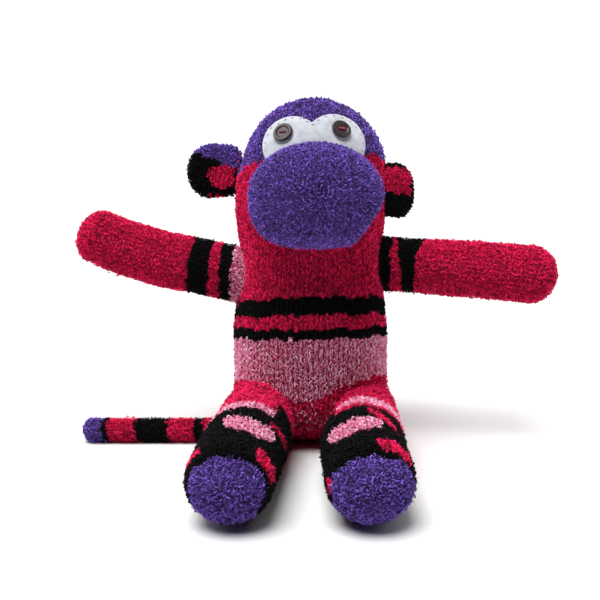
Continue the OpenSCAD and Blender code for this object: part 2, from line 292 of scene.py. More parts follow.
# Four shades of each yarn, given to the fibres at random: partly the yarn's uneven tone, partly painted
# light, the darkest as painted shade and the lightest as a painted highlight on lit fibres.
FIBRES = []
for name, colour in zip(COLOUR_NAMES, YARN):
    steps = (0.6, 0.9, 1.2, 1.8) if name == "black" else (0.36, 0.8, 1.25, 2.0)
    shades = [shaded(colour, k) for k in steps]
    # The pale yarn's four shades run from a deep pink of painted shade to a painted highlight.
    if name == "pale_pink":
        shades = [(0.72, 0.15, 0.29), (0.88, 0.29, 0.47), (0.95, 0.43, 0.62), (1.0, 0.60, 0.76)]
    tint = tuple(0.2 + 0.8 * min(1.0, 1.4 * c) for c in colour)
    FIBRES.append([
        plain_material(f"fibre_{name}_{i}", shade, 0.8, 0.0 if name == "black" else 0.12, tint)
        for i, shade in enumerate(shades)
    ])


def cloudy(material, scale, detail, dark, light):
    """Makes the colour change over a fine noise. Dark and light are each a place on its ramp and a colour."""
    nodes, links = material.node_tree.nodes, material.node_tree.links
    where = nodes.new("ShaderNodeTexCoord")
    noise = nodes.new("ShaderNodeTexNoise")
    set_inputs(noise, {"Scale": scale, "Detail": detail})
    ramp = nodes.new("ShaderNodeValToRGB")
    for element, (place, colour) in zip(ramp.color_ramp.elements, (dark, light)):
        element.position = place
        element.color = (*colour, 1)
    links.new(where.outputs["Object"], noise.inputs["Vector"])
    links.new(noise.outputs["Fac"], ramp.inputs["Fac"])
    links.new(ramp.outputs["Color"], shader_of(material).inputs["Base Color"])
    return noise


def knit_in_painted_shade(name, colour):
    """The knitted ground under the fibres, with uneven dye, darkened as painted shade of the gaps."""
    # Painted shade: the ground gets 0.3 to 0.75 of its colour, for the shaded gaps it shows through.
    m = plain_material(name, shaded(colour, 0.5), 0.95)
    cloudy(m, 900, 3, (0.35, shaded(colour, 0.3)), (0.7, shaded(colour, 0.75)))
    return m


# The ground's colours before the painted shade. Under the pale yarn it is a deep pink: the pink base showing
# in its hollows, and painted shade there.
GROUND_BEFORE_PAINTED_SHADE = (YARN[PURPLE], YARN[HOT], (0.62, 0.075, 0.17), YARN[BLACK])
KNIT_IN_PAINTED_SHADE = [knit_in_painted_shade(f"knit_{n}", c) for n, c in zip(COLOUR_NAMES, GROUND_BEFORE_PAINTED_SHADE)]

# ---- Meshes ----


def new_object(name, points, polygons, materials, index):
    """A mesh from a points array in millimetres and a list of same-sided polygon arrays."""
    mesh = bpy.data.meshes.new(name)
    mesh.vertices.add(len(points))
    mesh.vertices.foreach_set("co", (np.asarray(points, np.float32) * MM).ravel())
    loops = np.concatenate([p.ravel() for p in polygons]).astype(np.int32)
    sizes = np.concatenate([np.full(len(p), p.shape[1]) for p in polygons]).astype(np.int32)
    mesh.loops.add(len(loops))
    mesh.loops.foreach_set("vertex_index", loops)
    mesh.polygons.add(len(sizes))
    mesh.polygons.foreach_set("loop_start", np.concatenate([[0], np.cumsum(sizes)[:-1]]).astype(np.int32))
    mesh.polygons.foreach_set("loop_total", sizes)
    for m in materials:
        mesh.materials.append(m)
    mesh.polygons.foreach_set("material_index", np.asarray(index, np.int32))
    mesh.polygons.foreach_set("use_smooth", np.ones(len(sizes), bool))
    mesh.update(calc_edges=True)
    mesh.validate()
    return add_object(name, mesh)


def on_floor(p, height):
    """Keeps points above the floor: fabric and fibres that meet it are pressed flat."""
    p = p.copy()
    p[..., 2] = np.maximum(p[..., 2], height)
    return p


FACES_PER_WALE = 4


class Knit:
    """A fabric: its surface, how many wales run along it, and its colour at any place."""

    def __init__(self, surface, wales, colour, rib, curl, loose, course=1.6, step=1.2):
        self.surface, self.wales, self.colour = surface, wales, colour
        self.course, self.rib, self.curl, self.loose, self.step = course, rib, curl, loose, step

    def relief(self, turn):
        """Ribs: each wale stands up between two hollows."""
        return FUZZ - 0.5 * self.rib * np.cos(TAU * turn * self.wales)

    def ground(self, name, row_from, row_to, attach, replaced=(), slot=None):
        """The base mesh between two rows, coloured face by face."""
        s = self.surface
        n = max(4, int(round(self.length(row_from, row_to) / self.step)))
        rows = np.linspace(row_from, row_to, n + 1)
        m = self.wales * FACES_PER_WALE
        turns = np.arange(m) / m
        row, turn = np.meshgrid(rows, turns, indexing="ij")
        near = 0.12 if s.poles[0] else 0.0
        far = s.rows - 1 - (0.12 if s.poles[1] else 0.0)
        normal = s.frame(np.clip(row, near, far), turn)[1]
        p = s.at(row, turn) + normal * self.relief(turn)[..., None]
        if s.poles[0] and row_from == 0:
            p[0] = p[0].mean(0)
        if s.poles[1] and row_to == s.rows - 1:
            p[-1] = p[-1].mean(0)
        p = on_floor(p, 0.35)
        i, j = np.meshgrid(np.arange(n), np.arange(m), indexing="ij")
        k = (j + 1) % m
        quads = np.stack([i * m + j, i * m + k, (i + 1) * m + k, (i + 1) * m + j], -1).reshape(-1, 4)
        face_turn = (turns[j] + 0.5 / m).ravel()
        face_row = ((rows[i] + rows[i + 1]) / 2).ravel()
        index = self.colour(face_row, face_turn, s.at(face_row, face_turn))
        if s.facing < 0:
            quads = quads[:, ::-1]
        obj = new_object(name, p.reshape(-1, 3), [quads], KNIT_IN_PAINTED_SHADE, index)
        attach(obj)
        slot or SLOTS[int(np.bincount(index, minlength=4).argmax())]
        if replaced:
            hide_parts(*replaced)

    def length(self, row_from, row_to):
        rows = np.linspace(row_from, row_to, 60)
        line = self.surface.at(rows, np.full(60, 0.25))
        return np.linalg.norm(np.diff(line, axis=0), axis=1).sum()

    def stitches(self, row_from, row_to, seed, keep):
        """Where the yarn's fibres lie: two slanting legs to a stitch, in straight wales, and loose curls."""
        rng = np.random.default_rng(seed)
        s = self.surface
        n = max(2, int(round(self.length(row_from, row_to) / self.course)))
        edge = np.linspace(row_from, row_to, n + 1)
        mid = (edge[:-1] + edge[1:]) / 2
        probe = s.at(mid[:, None], np.arange(24)[None] / 24)
        girth = np.linalg.norm(probe - np.roll(probe, 1, axis=1), axis=2).sum(1)
        pitch = girth.max() / self.wales
        course = edge[1] - edge[0]
        lying = []
        for r, g in zip(mid, girth):
            w = self.wales if g > 0.82 * girth.max() else max(3, int(round(g / pitch)))
            t = np.arange(w) / w
            for leg in (-1, 1):
                lying.append((
                    r + rng.normal(0, 0.12, w) * course,
                    t + (0.5 + leg * 0.2 + rng.normal(0, 0.05, w)) / w,
                    leg * rng.normal(0.45, self.curl, w),
                    rng.normal(1.0, 0.1, w),
                ))
            extra = rng.random(int(w * self.loose))
            lying.append((
                r + rng.uniform(-0.5, 0.5, len(extra)) * course,
                extra,
                rng.uniform(-math.pi, math.pi, len(extra)),
                rng.uniform(0.55, 0.85, len(extra)),
            ))
        row, turn, lean, size = (np.concatenate(a) for a in zip(*lying))
        inside = (row > row_from) & (row < row_to)
        row, turn, lean, size = row[inside], turn[inside] % 1, lean[inside], size[inside]
        p, normal, along = s.frame(row, turn)
        uneven = rng.normal(0, 0.22, len(row)) + 0.8 * (rng.random(len(row)) < 0.05)
        colour = self.colour(row, turn, p)
        p = p + normal * (self.relief(turn) + uneven)[:, None]
        side = np.cross(normal, along)
        t = along * np.cos(lean)[:, None] + side * np.sin(lean)[:, None]
        chosen = keep(row, turn, p)
        return [a[chosen] for a in (p, normal, t, size, colour)]


RING = np.array([0.2, 0.5, 0.8])
SPIN = TAU * np.array([0.25, 0.25 + 1 / 3, 0.25 + 2 / 3])


def rings(centre, radius, side, up):
    """Three points round each centre."""
    around = side[:, None, None] * np.cos(SPIN)[None, None, :, None]
    around = around + up[:, None, None] * np.sin(SPIN)[None, None, :, None]
    return centre[:, :, None] + around * radius[..., None, None]


def curls(rng, p, n, t, size, length, thick, rise, sway):
    """A closed, curved, three-sided strand at each place, lying along t and arched off the fabric."""
    count = len(p)
    side = np.cross(n, t)
    size = size * rng.uniform(0.8, 1.2, count)
    wave = rng.uniform(-sway, sway, count)
    phase = rng.uniform(0, TAU, count)
    tip = rng.uniform(0.0, 0.9, count)
    roll = rng.normal(0, 0.35, count)
    up = n * np.cos(roll)[:, None] + side * np.sin(roll)[:, None]

    def centre(at):
        bow = np.sin(math.pi * at)[None, :] ** 0.8
        x = (at - 0.5)[None, :] * length * size[:, None]
        y = wave[:, None] * np.sin(TAU * 0.8 * at[None, :] + phase[:, None])
        z = rise * bow * size[:, None] + tip[:, None] * at[None, :] - 0.35
        flat = t[:, None] * x[..., None] + side[:, None] * y[..., None]
        return p[:, None] + flat + up[:, None] * z[..., None]

    ends = centre(np.array([0.0, 1.0]))
    body = rings(centre(RING), thick * np.array([0.85, 1.0, 0.8])[None] * size[:, None], side, n)
    return np.concatenate([ends[:, :1], body.reshape(count, 9, 3), ends[:, 1:]], axis=1)


def hairs(rng, p, n, t, length, thick):
    """A thin bent spike at each place, standing off the fabric."""
    count = len(p)
    side = np.cross(n, t)
    turn = rng.uniform(0, TAU, count)[:, None]
    flat = t * np.cos(turn) + side * np.sin(turn)
    reach = (length * rng.uniform(0.6, 1.25, count))[:, None]
    lean = rng.uniform(0.1, 0.9, count)[:, None]
    mid = p + n * (0.55 * reach) + flat * (0.35 * lean * reach)
    tip = p + n * (0.95 - 0.25 * lean) * reach + flat * (0.95 * lean * reach)
    centre = np.stack([p, mid], 1)
    radius = thick * np.array([1.0, 0.75])[None] * rng.uniform(0.8, 1.3, count)[:, None]
    body = rings(centre, radius, side, t)
    return np.concatenate([body.reshape(count, 6, 3), tip[:, None]], axis=1)


def strand_faces(rows, first, closed):
    """The quads and triangles of a strand: rows of three points from index first, and its ends."""
    quads = []
    for row_start in range(first, first + 3 * (rows - 1), 3):
        for k in range(3):
            m = (k + 1) % 3
            quads.append((row_start + k, row_start + m, row_start + 3 + m, row_start + 3 + k))
    top = first + rows * 3
    tris = [(top, top - 3 + k, top - 3 + (k + 1) % 3) for k in range(3)]
    if closed:
        tris += [(0, first + (k + 1) % 3, first + k) for k in range(3)]
    else:
        tris.append((first + 2, first + 1, first))
    return np.array(quads), np.array(tris)


CURL_FACES = strand_faces(3, 1, True)
HAIR_FACES = strand_faces(2, 0, False)
HAIRS_PER_CURL = 0.55
HAIR_LENGTH, HAIR_R, HAIR_SHIFT = 2.3, 0.15, 0.8
STRAND_FLOOR = 0.02
STRANDS_PER_MESH = 7500
# How often each shade is given. The curls' mix of dark and light is partly painted shade and painted
# highlight; the hairs, standing above the curls, get the light shades more often, a painted sheen.
CURL_SHADE_SHARES = (0.25, 0.33, 0.27, 0.15)
HAIR_PAINTED_SHEEN_SHARES = (0.1, 0.3, 0.35, 0.25)


def fibres(name, p, n, t, size, colour, attach, seed, length=2.2, thick=0.41, rise=1.3, sway=0.6):
    """The pile: a curl at each place and a thin hair at about every other one, in a mesh for each colour."""
    rng = np.random.default_rng(seed)
    curl_points = on_floor(curls(rng, p, n, t, size, length, thick, rise, sway), STRAND_FLOOR)
    some = np.flatnonzero(rng.random(len(p)) < HAIRS_PER_CURL)
    shift = t[some] * rng.uniform(-HAIR_SHIFT, HAIR_SHIFT, (len(some), 1))
    shift = shift + np.cross(n, t)[some] * rng.uniform(-HAIR_SHIFT, HAIR_SHIFT, (len(some), 1))
    hair_roots = p[some] + shift + 0.3 * n[some]
    hair_points = on_floor(hairs(rng, hair_roots, n[some], t[some], HAIR_LENGTH, HAIR_R), STRAND_FLOOR)
    # Each strand's shade is drawn at random; the hairs' lighter mix is painted sheen.
    curl_shade = rng.choice(4, len(p), p=CURL_SHADE_SHARES)
    hair_shade = rng.choice(4, len(some), p=HAIR_PAINTED_SHEEN_SHARES)
    for c in range(4):
        picked = np.flatnonzero(colour == c)
        standing = np.flatnonzero(colour[some] == c)
        parts = math.ceil(len(picked) / STRANDS_PER_MESH)
        for part in range(parts):
            points, quads, tris, quad_shade, tri_shade, base = [], [], [], [], [], 0
            for cloud, which, shade, (q, r) in (
                (curl_points, picked[part::parts], curl_shade, CURL_FACES),
                (hair_points, standing[part::parts], hair_shade, HAIR_FACES),
            ):
                chosen = cloud[which]
                start = (base + np.arange(len(which)) * cloud.shape[1])[:, None, None]
                points.append(chosen.reshape(-1, 3))
                quads.append((q[None] + start).reshape(-1, 4))
                tris.append((r[None] + start).reshape(-1, 3))
                quad_shade.append(np.repeat(shade[which], len(q)))
                tri_shade.append(np.repeat(shade[which], len(r)))
                base += len(which) * cloud.shape[1]
            index = np.concatenate(quad_shade + tri_shade)
            obj = new_object(f"{name}_{COLOUR_NAMES[c]}_{part}", np.vstack(points),
                             [np.vstack(quads), np.vstack(tris)], FIBRES[c], index)
            attach(obj)


def riding(body):
    return lambda obj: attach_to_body(obj, body)


def bending(start, end):
    start, end = tuple(np.asarray(start) * MM), tuple(np.asarray(end) * MM)
    return lambda obj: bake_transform(obj)


def jitter(seed, count):
    """A small uneven step for each wale, so that a colour changes stitch by stitch."""
    table = np.random.default_rng(seed).uniform(-1, 1, count)
    return lambda turn: table[np.floor((turn % 1) * count).astype(int) % count]


# ---- Body and head: one sock ----

BODY_WALES = 98
body_jitter = jitter(11, BODY_WALES)


def body_colour(row, turn, p):
    q = to_body(p)
    angle = np.arctan2(q[..., 0], -q[..., 1])
    z = q[..., 2] + 0.9 * body_jitter(turn) + 0.5 * np.sin(9 * angle + 2)
    s, c = np.sin(angle), np.cos(angle)
    colour = np.full(z.shape, HOT)
    top = 171 + 3 * s - np.where(s < 0, 7.0, 2.5) * np.abs(s) ** 6
    colour[z > top] = PURPLE
    colour[(z < 84.3 + 3.5 * c + 1.7 * s) & (z > 77.4 + 1.3 * s - 2.0 * s**2)] = BLACK
    low_band = 63.1 + 1.4 * s - 0.5 * s**2
    colour[(z < 68.7 + 0.9 * s) & (z > low_band)] = BLACK
    dip = 11 * np.exp(-(((angle + 0.07) / 0.44) ** 2))
    colour[(z < low_band) & (z > 37.2 + 2.2 * s - dip)] = PALE
    # A scatter that's the same each time: pale stitches show through on the seat's front.
    speckle = np.modf(np.abs(np.sin(turn * 1234.5 + row * 78.9) * 4375.8))[0]
    colour[(c > 0.3) & (speckle < 0.38 * np.exp(-(((z - 16) / 6) ** 2)))] = PALE
    return colour


seat_turn = np.linspace(0, math.pi / 2, 9)[:-1]
crown_turn = np.linspace(0, math.pi / 2, 11)[1:]
side_z = np.linspace(SEAT_Z, CROWN_Z, 32)
seat_z = SEAT_Z - 26.5 * np.cos(seat_turn)
heights = np.concatenate([seat_z, side_z, CROWN_Z + HEAD_R * np.sin(crown_turn)])
radii = np.concatenate([BELLY_R * np.sin(seat_turn), outline(side_z), HEAD_R * np.cos(crown_turn)])
COLUMNS = 64
turns = np.arange(COLUMNS) / COLUMNS
height, turn = np.meshgrid(heights, turns, indexing="ij")
radius = radii[:, None] + lumps(3, turn, height / 30, 0.35) * np.minimum(1, radii[:, None] / 30)
radius = radius - 0.6 * np.exp(-(((height - 46) / 16) ** 2))
out_x = np.cos(TAU * turn)
radius = radius - smooth((height - 160) / 12) * (0.6 * out_x**2 + 1.8 * np.maximum(0, -out_x) ** 2)
shift = 1.3 * smooth((height - 160) / 30) - 0.5 * np.exp(-(((height - 50) / 20) ** 2))
grid = to_row(np.stack([radius * np.cos(TAU * turn) + shift, radius * np.sin(TAU * turn), height], -1))
grid[..., 2] = np.maximum(grid[..., 2], 0.0)
sock = Surface(grid, (True, True))
neck_row = float(np.interp(NECK_Z, heights, np.arange(len(heights))))
body = Knit(sock, BODY_WALES, body_colour, rib=1.1, curl=0.22, loose=0.4, step=1.15)
neck_point = pivot("head_turn")
into_neck = bending(neck_point - 20 * AXIS, neck_point)
into_head = bending(neck_point, neck_point + 18 * AXIS)
body.ground("sock_body", 0, neck_row, into_neck,
            ("torso_cover", "torso_stuffing", "neck_cover", "neck_stuffing"), "sock_hot_pink")
body.ground("sock_head", neck_row, sock.rows - 1, into_head,
            ("head_cover", "head_stuffing"), "sock_purple")

ARM_R = width_of("arm_left_root") / 2 + 0.7
LEG_R = width_of("leg_left_root") / 2 + 0.7
SIGN = {"left": 1, "right": -1}
SHOULDER = {s: pivot(f"arm_{s}_swing") for s in SIGN}
HIP = {s: pivot(f"leg_{s}_splay") for s in SIGN}
# Which way each limb points at rest.
ARM_WAY = {s: unit(middle_of(f"arm_{s}_cover") - SHOULDER[s]) for s in SIGN}
LEG_WAY = {s: unit(np.cross([0, 0, 1], JOINT[f"leg_{s}_flex"]["axis"])) for s in SIGN}

MUZZLE_AT = np.array([2.4, -53.0, 147.2])
FELT_MIDDLE = np.array([0.75, 172.0])
FELT_LOBES = (np.array([-12.5, 177.5]), np.array([14.0, 178.5]))
FELT_LOBE_R = 18.3
FELT_FOOT_DROP = 11.5
# Above this height along the body, the felt covers the sock and lies under the muzzle's stitches.
FELT_SHOWS_Z = FELT_MIDDLE[1] - FELT_FOOT_DROP - 2.5


def felt_reach(angle):
    """Distance from the felt's middle to its edge in each direction."""
    way = np.stack([np.cos(angle), np.sin(angle)], -1)
    reach = np.zeros(angle.shape)
    for lobe in FELT_LOBES:
        d = lobe - FELT_MIDDLE
        along = way @ d
        under = along**2 - (d @ d - FELT_LOBE_R**2)
        reach = np.maximum(reach, np.where(under > 0, along + np.sqrt(np.maximum(under, 0)), 0))
    foot = np.where(way[..., 1] < -1e-6, -FELT_FOOT_DROP / np.minimum(way[..., 1], -1e-6), 1e9)
    return np.minimum(np.maximum(reach, 12.0) * (1 - 0.055 * np.maximum(0, -way[..., 0])), foot)


def shows_on_body(row, turn, p):
    """False where the sock is covered: at the limbs' roots, under the muzzle and under the felt."""
    q = to_body(p)
    keep = np.ones(len(p), bool)
    for side in SIGN:
        for start, way, behind, reach in (
            (SHOULDER[side], ARM_WAY[side], 25, ARM_R - 3.0),
            (HIP[side], LEG_WAY[side], 12, LEG_R - 3.5),
        ):
            along = (p - start) @ way
            away = np.linalg.norm(p - start - along[:, None] * way, axis=1)
            keep &= ~((along > -behind) & (away < reach))
    front = q[:, 1] < 0
    keep &= ~(front & (((q[:, 0] - 2) / 30) ** 2 + ((q[:, 2] - 148) / 22) ** 2 < 1))
    d = np.stack([q[:, 0], q[:, 2]], -1) - FELT_MIDDLE
    inside = np.linalg.norm(d, axis=1) < felt_reach(np.arctan2(d[:, 1], d[:, 0])) - 0.6
    return keep & ~(front & inside & (q[:, 2] > FELT_SHOWS_Z))


fibres("pile_body", *body.stitches(0.6, neck_row, 21, shows_on_body), into_neck, 22,
       length=2.3, thick=0.48, rise=1.1, sway=0.3)
fibres("pile_head", *body.stitches(neck_row, sock.rows - 1.02, 23, shows_on_body), into_head, 24,
       length=2.3, thick=0.43, sway=0.5)

# ---- Arms and legs ----


def tube(centre_line, radius, columns, tip_rows, tip_r=None):
    """A grid of rows round a centre line, closed by a round tip."""
    line = np.asarray(centre_line, float)
    way = unit(np.gradient(line, axis=0))
    side = np.array([0.0, 0.0, 1.0])
    t = TAU * np.arange(columns) / columns
    rows = []
    for k in range(len(line)):
        side = unit(side - way[k] * (side @ way[k]))
        hoop = np.cos(t)[:, None] * side + np.sin(t)[:, None] * np.cross(way[k], side)
        rows.append(line[k] + radius[k] * hoop)
    reach = tip_r or radius[-1]
    for a in np.linspace(0, math.pi / 2, tip_rows + 1)[1:]:
        rows.append(line[-1] + way[-1] * reach * math.sin(a) + radius[-1] * math.cos(a) * hoop)
    return np.array(rows)


def uneven_tube(grid, seed, size):
    """The tube with its rings swollen and pinched a little, as loose filling leaves them."""
    rows, columns = grid.shape[:2]
    bulge = lumps(seed, np.arange(columns)[None] / columns, np.arange(rows)[:, None] / 3.0, size)
    centre = grid.mean(1, keepdims=True)
    return centre + (grid - centre) * (1 + bulge)[..., None]


def outside_body(row, turn, p):
    q = to_body(p)
    return (np.hypot(q[:, 0], q[:, 1]) >= outline(q[:, 2]) - 0.4) | (q[:, 2] >= 200) | (q[:, 2] <= 0)


def sew_limb(limb, side, k, stations, start, way, zones, seed, slot):
    """A limb's fabric and pile, cut at its joint. Zones, the reach behind and ahead of the joint, is passed
    on but not used: nothing bends.
    """
    name = f"{limb}_{side}"
    joint_row = float(np.interp(0, stations, np.arange(len(stations))))
    last = k.surface.rows - 1
    root = bending(start - zones[0] * way, start)
    free = bending(start, start + zones[1] * way)
    k.ground(f"{name}_root_fabric", 0, joint_row, root, (f"{name}_root",))
    k.ground(f"{name}_fabric", joint_row, last, free, (f"{name}_cover", f"{name}_stuffing"), slot)
    near = k.stitches(0, joint_row, seed + SIGN[side], outside_body)
    fibres(f"pile_{name}_root", *near, root, seed + 1)
    beyond = k.stitches(joint_row, last - 0.02, seed + 2 + SIGN[side], outside_body)
    fibres(f"pile_{name}", *beyond, free, seed + 3)


ARM_LENGTH = 102.0
LEG_LENGTH = 127.5


def arm_colour(side, start, way):
    uneven = jitter(31 + SIGN[side], 38)

    def colour(row, turn, p):
        q = p - start
        u = q @ way + uneven(turn)
        r = q - (q @ way)[..., None] * way
        high = r[..., 2] / ARM_R
        near = -r[..., 1] / ARM_R
        c = np.full(u.shape, HOT)
        if side == "right":
            c[u < 24.5 + 0.6 * high] = BLACK
            c[(u < 11.4 + 1.8 * high) & (u > 4.6 + 2.6 * high)] = HOT
            c[u < -2.6 + 2.0 * high] = PALE
        else:
            c[u < 17.3 + 2.6 * high ** 3 - 2.4 * near] = BLACK
            c[(u < 4.6 - 2.5 * high + 1.5 * near) & (u > 0.0)] = HOT
        return c

    return colour


# How each arm curves up at its tip, is lifted at its root, narrows at its root and tapers, in millimetres.
ARM_SHAPE = {"right": (7.2, 1.6, 0.2, 1.0), "left": (-1.4, 0.2, 0.7, -0.6)}


def make_arm(side):
    start, way = SHOULDER[side], ARM_WAY[side]
    stations = np.concatenate([np.linspace(-24, 0, 6), np.linspace(0, ARM_LENGTH - ARM_R, 17)[1:]])
    line = start + stations[:, None] * way
    past = np.maximum(0, stations - 40) / 60
    bow, root_lift, waist, taper = ARM_SHAPE[side]
    line[:, 2] += bow * past**2 + root_lift * (1 - smooth((stations - 5) / 45))
    radius = ARM_R - waist * np.exp(-(((stations - 8) / 18) ** 2)) - taper * past**2
    grid = tube(line, radius, 28, tip_rows=6, tip_r=ARM_R - (4.2 if side == "right" else 0.8))
    grid = uneven_tube(grid, 41 + SIGN[side], 0.018)
    shape = swell(Surface(grid, (False, True)), lambda i, j: i < 4, push=3.0, cap=0.9)
    k = Knit(shape, 40, arm_colour(side, start, way), course=1.7, curl=0.6, rib=0.7, loose=1.1)
    sew_limb("arm", side, k, stations, start, way, (21, 22), 51, "sock_hot_pink")


make_arm("left")
make_arm("right")


def oval(u, a, u0, a0, half_u, half_a, tilt=0, arch=0):
    """True inside an oval patch at u0 along the leg and a0 degrees round it, slanted or bent."""
    y = (a - a0) / half_a
    x = (u - u0 + tilt * y + arch * y * y) / half_u
    return x**2 + y**4 < 1


def leg_colour(side, start, way):
    uneven = jitter(61 + SIGN[side], 48)

    def colour(row, turn, p):
        q = p - start
        along = q @ way
        r = q - along[..., None] * way
        u = along + 1.6 * uneven(turn) + 0.8 * uneven(turn * 2.3 + 0.1)
        a = np.degrees(np.arctan2(-r[..., 0], r[..., 2])) + 2 * uneven(turn + 0.37)
        past = along - (LEG_LENGTH - LEG_R)
        polar = np.degrees(np.arctan2(np.linalg.norm(r, axis=-1), past)) + 2.5 * uneven(turn + 0.61)
        c = np.full(u.shape, BLACK)
        if side == "right":
            c[(u < 53) & (a > -42)] = PALE
            c[(u < 41) & ((a > -42) | (u < 24))] = HOT
            c[oval(u, a, 82, -16, 10.5, 40, 2, 9)] = PALE
            c[oval(u, a, 60, -66, 3.5, 24, -3)] = HOT
            c[oval(u, a, 108, -62, 5.5, 27, -2)] = HOT
            c[oval(u, a, 107, 62, 4, 24, 3)] = HOT
            c[oval(u, a, 70, 150, 14, 40)] = PALE
            cap = 52 + 6 * smooth((-a - 10) / 20) + 7 * smooth((a - 40) / 20)
            cap = cap + (30 * smooth((np.abs(a) - 105) / 30)) * (1 - np.exp(-(((a + 118) / 24) ** 2)))
        else:
            top_side = a < 48
            c[(u < 47 + 3 * np.cos(np.radians(a))) & top_side] = HOT
            c[(u < 43 - 4 * smooth((a - 15) / 20)) & top_side] = PALE
            c[u < 25] = HOT
            c[oval(u, a, 83, 22, 10.5, 42, -2, 7)] = PALE
            c[oval(u, a, 65, -22, 6.5, 24, 9)] = HOT
            c[oval(u, a, 107, -34, 6, 28)] = HOT
            c[oval(u, a, 115, 88, 4, 12)] = HOT
            c[oval(u, a, 70, -150, 14, 40)] = PALE
            cap = 55 + 12 * smooth((-a - 25) / 30) + 8 * smooth((a - 45) / 25)
            cap = cap + 24 * smooth((np.abs(a) - 100) / 30) + 12 * np.exp(-(((a + 90) / 22) ** 2))
        c[(polar < cap) & (past > -2)] = PURPLE
        return c

    return colour


def make_leg(side):
    start, way = HIP[side], LEG_WAY[side]
    stations = np.concatenate([np.linspace(-28, 0, 7), np.linspace(0, LEG_LENGTH - LEG_R, 18)[1:]])
    line = start + stations[:, None] * way
    slim = (1.4 if side == "right" else 3.0) * (1 - smooth((stations + 5) / 60))
    line[:, 2] -= 0.6 * slim
    if side == "left":
        line[:, 0] -= 2.4 * np.exp(-(((stations - 62) / 36) ** 2))
    else:
        line[:, 0] -= 0.9 * smooth((stations - 20) / 50)
    toe = smooth((stations - 50) / 60)
    line[:, 2] += 1.2 * toe
    radius = LEG_R - slim - 0.8 * toe
    grid = tube(line, radius, 32, tip_rows=7)
    level = grid.mean(1)[:, None, 2]
    flatten = 1 - 0.045 * np.append(toe, np.ones(len(grid) - len(toe)))[:, None]
    grid[..., 2] = level + (grid[..., 2] - level) * flatten
    grid = uneven_tube(grid, 71 + SIGN[side], 0.016)
    shape = swell(Surface(grid, (False, True)), lambda i, j: i < 5, push=3.0, cap=0.8)
    k = Knit(shape, 54, leg_colour(side, start, way), curl=0.8, rib=0.45, loose=1.2)
    sew_limb("leg", side, k, stations, start, way, (18, 40), 81, "sock_black")


make_leg("left")
make_leg("right")

# ---- Tail ----

TAIL = pivot("tail_swing")
TAIL_R = width_of("tail_root") / 2 - 0.2
tail_end_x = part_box("tail_cover")[0][0] / MM


def arc(centre, r, start, end, count):
    """Points on a level arc, without its last one."""
    angles = np.linspace(start, end, count)[:-1]
    return [centre + r * np.array([math.cos(a), math.sin(a), 0]) for a in angles]


def tail_path():
    """The tail's centre line: out of the back, round the right side, and out again."""
    curl, around, side_length, out = 11.0, 39.5, 39.5, 12.0
    points = [TAIL + [0, d, 0] for d in np.linspace(-14, curl, 10)[:-1]]
    c = TAIL + [-curl, curl, 0]
    points += arc(c, curl, 0, math.pi / 2, 7)
    c = TAIL + [-curl, 2 * curl - around, 0]
    points += arc(c, around, math.pi / 2, math.pi, 19)
    top = c + [-around, 0, 0]
    points += [top - [0, d, 0] for d in np.linspace(0, side_length, 8)[:-1]]
    c = top + [-out, -side_length, 0]
    points += arc(c, out, 0, -math.pi / 2, 6)
    end = c + [0, -out, 0]
    reach = end[0] - (tail_end_x + TAIL_R) - 1.5
    points += [end - [d, 0, 0] for d in np.linspace(0, reach, 16)]
    return np.array(points)


tail_line = tail_path()
tail_steps = np.concatenate([[0], np.cumsum(np.linalg.norm(np.diff(tail_line, axis=0), axis=1))])
tail_full = tail_steps[-1] + TAIL_R
tail_uneven = jitter(91, 18)
TAIL_TIP_ROWS = 5
# Each band of the tail: where it ends, in millimetres from the tip, and its colour.
TAIL_BANDS = ((14, PURPLE), (17, BLACK), (34, HOT), (54, BLACK), (70, HOT), (76, BLACK), (88, HOT),
              (100, BLACK), (152, HOT), (170, BLACK), (186, HOT), (205, BLACK), (400, HOT))


def tail_colour(row, turn, p):
    along = np.interp(row, np.arange(len(tail_line)), tail_steps)
    along = along + np.maximum(0, row - (len(tail_line) - 1)) * TAIL_R / TAIL_TIP_ROWS
    from_tip = tail_full - along + 1.2 * tail_uneven(turn) + 2.4 * np.cos(TAU * (turn + 0.1))
    c = np.full(from_tip.shape, HOT)
    for end, colour in reversed(TAIL_BANDS):
        c[from_tip < end] = colour
    return c


tail_grid = tube(tail_line, np.full(len(tail_line), TAIL_R), 18, TAIL_TIP_ROWS, TAIL_R - 1)
tail_shape = Surface(tail_grid, (False, True))
tail = Knit(tail_shape, 19, tail_colour, curl=0.8, rib=0.4, loose=1.2)
tail_pivot_row = float(np.interp(14, tail_steps, np.arange(len(tail_line))))
tail_free_row = float(np.interp(24, tail_steps, np.arange(len(tail_line))))
tail_last = len(tail_grid) - 1
for label, a, b, attach, nodes in (
    ("tail_root", 0, tail_pivot_row, bending(TAIL - [0, 18, 0], TAIL), ("tail_root",)),
    ("tail_base", tail_pivot_row, tail_free_row, bending(TAIL, TAIL + [0, 7, 0]), ()),
    ("tail", tail_free_row, tail_last, riding("tail"), ("tail_cover", "tail_stuffing")),
):
    tail.ground(f"{label}_fabric", a, b, attach, nodes, "sock_black")
    fibres(f"pile_{label}", *tail.stitches(a, min(b, tail_last - 0.02), 95, outside_body), attach, 96)

# ---- Muzzle ----


# The muzzle's outline from the front: its half width and half height, how square its upper and lower
# halves are (2 is an ellipse), and one flattened stretch at its lower left cheek, as a direction in
# degrees and a distance from the middle.
MUZZLE_HALF = (37.7, 29.4)
MUZZLE_SQUARENESS = (2.0, 2.9)
MUZZLE_FLAT = (-35, 33.8)


